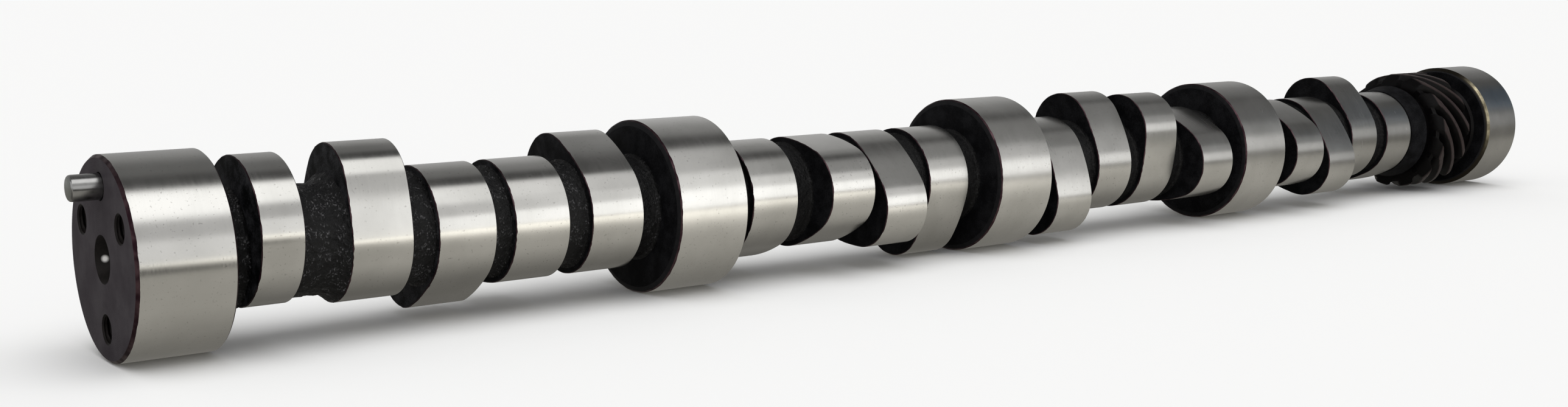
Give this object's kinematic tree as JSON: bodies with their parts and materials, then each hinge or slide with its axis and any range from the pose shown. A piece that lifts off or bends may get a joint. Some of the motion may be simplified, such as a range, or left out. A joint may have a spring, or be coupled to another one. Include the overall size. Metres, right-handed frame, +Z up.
{
  "type": "camshaft",
  "caption": "Pushrod V8 camshaft with ground journals, cam lobes, a fuel pump eccentric and a helical distributor gear, with a dowel pin in its front face.",
  "frame": {"origin": "middle of the front face, on the shaft's axis", "axes": "+X along the shaft to the rear, +Z up, -Y to the right as seen from the front"},
  "size_m": [0.581, 0.0494, 0.0494],
  "materials": {
    "camshaft_iron": "ground bright on journals and lobes, black scale on the sides and the cast core",
    "dowel_steel": "ground bright"
  },
  "bodies": {
    "root": {"camshaft": "camshaft_iron", "dowel_pin": "dowel_steel"}
  },
  "joints": []
}
